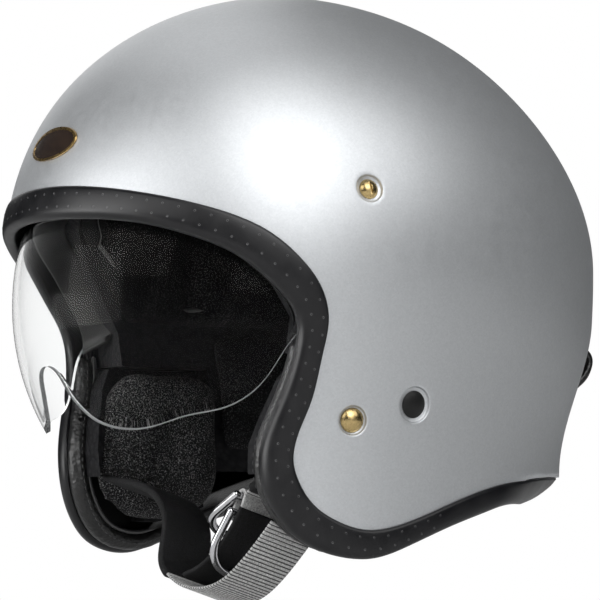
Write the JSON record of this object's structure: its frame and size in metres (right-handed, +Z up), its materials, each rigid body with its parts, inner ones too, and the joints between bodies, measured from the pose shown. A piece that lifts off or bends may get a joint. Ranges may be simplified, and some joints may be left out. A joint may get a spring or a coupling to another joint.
{
  "type": "open face motorcycle helmet",
  "caption": "Open face motorcycle helmet with a matt silver dome, black rubber edge trim, retractable clear inner visor, padded cheeks, double D-ring chin strap and rear goggle tab.",
  "frame": {"origin": "middle of the head cavity at temple height, on the centre plane, 100 mm below the crown of the head; the helmet is held there by the wearer's head", "axes": "+X to the wearer's left, -Y to the front, +Z up"},
  "size_m": [0.2429, 0.3164, 0.2911],
  "materials": {
    "shell_paint": "matt silver metallic paint under a satin clear coat",
    "trim_rubber": "black rubber edge trim, satin, with two rows of fine dimples",
    "liner_foam": "black moulded bead foam",
    "clear_lens": "clear hard-coated polycarbonate with polished edges",
    "black_plastic": "black moulded plastic, fine grain",
    "brass": "polished brass",
    "steel": "brushed stainless steel",
    "chrome": "bright plated steel",
    "pad_fabric": "black brushed knit with grey flecks",
    "leather": "black grained synthetic leather with stitched piping",
    "webbing": "grey woven webbing with ribs across it",
    "badge_dark": "dark glossy enamel",
    "badge_gold": "satin gold rim"
  },
  "bodies": {
    "helmet": {"outer_shell": "shell_paint", "edge_trim": "trim_rubber", "nape_skirt": "trim_rubber", "impact_liner": "liner_foam", "crown_pad": "pad_fabric", "neck_pad": "leather", "brow_frame": "black_plastic", "visor_screws": "brass", "strap_rivets": "brass", "blanking_plugs": "black_plastic", "visor_pin_left": "black_plastic", "visor_pin_right": "black_plastic", "visor_base_left": "black_plastic", "visor_base_right": "black_plastic", "ear_pad_left": "pad_fabric", "ear_pad_right": "pad_fabric", "cheek_block_left": "liner_foam", "cheek_block_right": "liner_foam", "cheek_pad_left": "pad_fabric", "cheek_pad_right": "pad_fabric", "cheek_roll_left": "leather", "cheek_roll_right": "leather", "pad_snaps": "black_plastic", "badge_bezel": "badge_gold", "badge_plate": "badge_dark", "tab_mount": "leather", "tab_rivets": "brass", "snap_stud": "brass"},
    "visor": {"visor_lens": "clear_lens"},
    "chin_strap": {"strap_short": "webbing", "strap_long": "webbing", "strap_hanger_left": "steel", "strap_hanger_right": "steel"},
    "ring_upper": {"d_ring_upper": "chrome"},
    "ring_lower": {"d_ring_lower": "chrome"},
    "goggle_flap": {"goggle_tab": "leather", "snap_cap": "brass"}
  },
  "joints": [
    {"name": "visor_hinge", "type": "hinge", "parent": "helmet", "child": "visor", "pos_m": [0, -0.018, -0.0046], "axis": [-1, 0, 0], "range_deg": [0, 46]},
    {"name": "strap_swing", "type": "hinge", "parent": "helmet", "child": "chin_strap", "pos_m": [0, -0.035, -0.0615], "axis": [1, 0, 0], "range_deg": [-8, 8]},
    {"name": "ring_upper_hinge", "type": "hinge", "parent": "chin_strap", "child": "ring_upper", "pos_m": [0.0515, -0.04699, -0.0984], "axis": [0, 0.9511, -0.309], "range_deg": [-20, 20]},
    {"name": "ring_lower_hinge", "type": "hinge", "parent": "chin_strap", "child": "ring_lower", "pos_m": [0.051, -0.04946, -0.10601], "axis": [0, 0.9511, -0.309], "range_deg": [-20, 20]},
    {"name": "goggle_flap_hinge", "type": "hinge", "parent": "helmet", "child": "goggle_flap", "pos_m": [0, 0.1666, -0.0205], "axis": [1, 0, 0], "range_deg": [0, 55]}
  ]
}
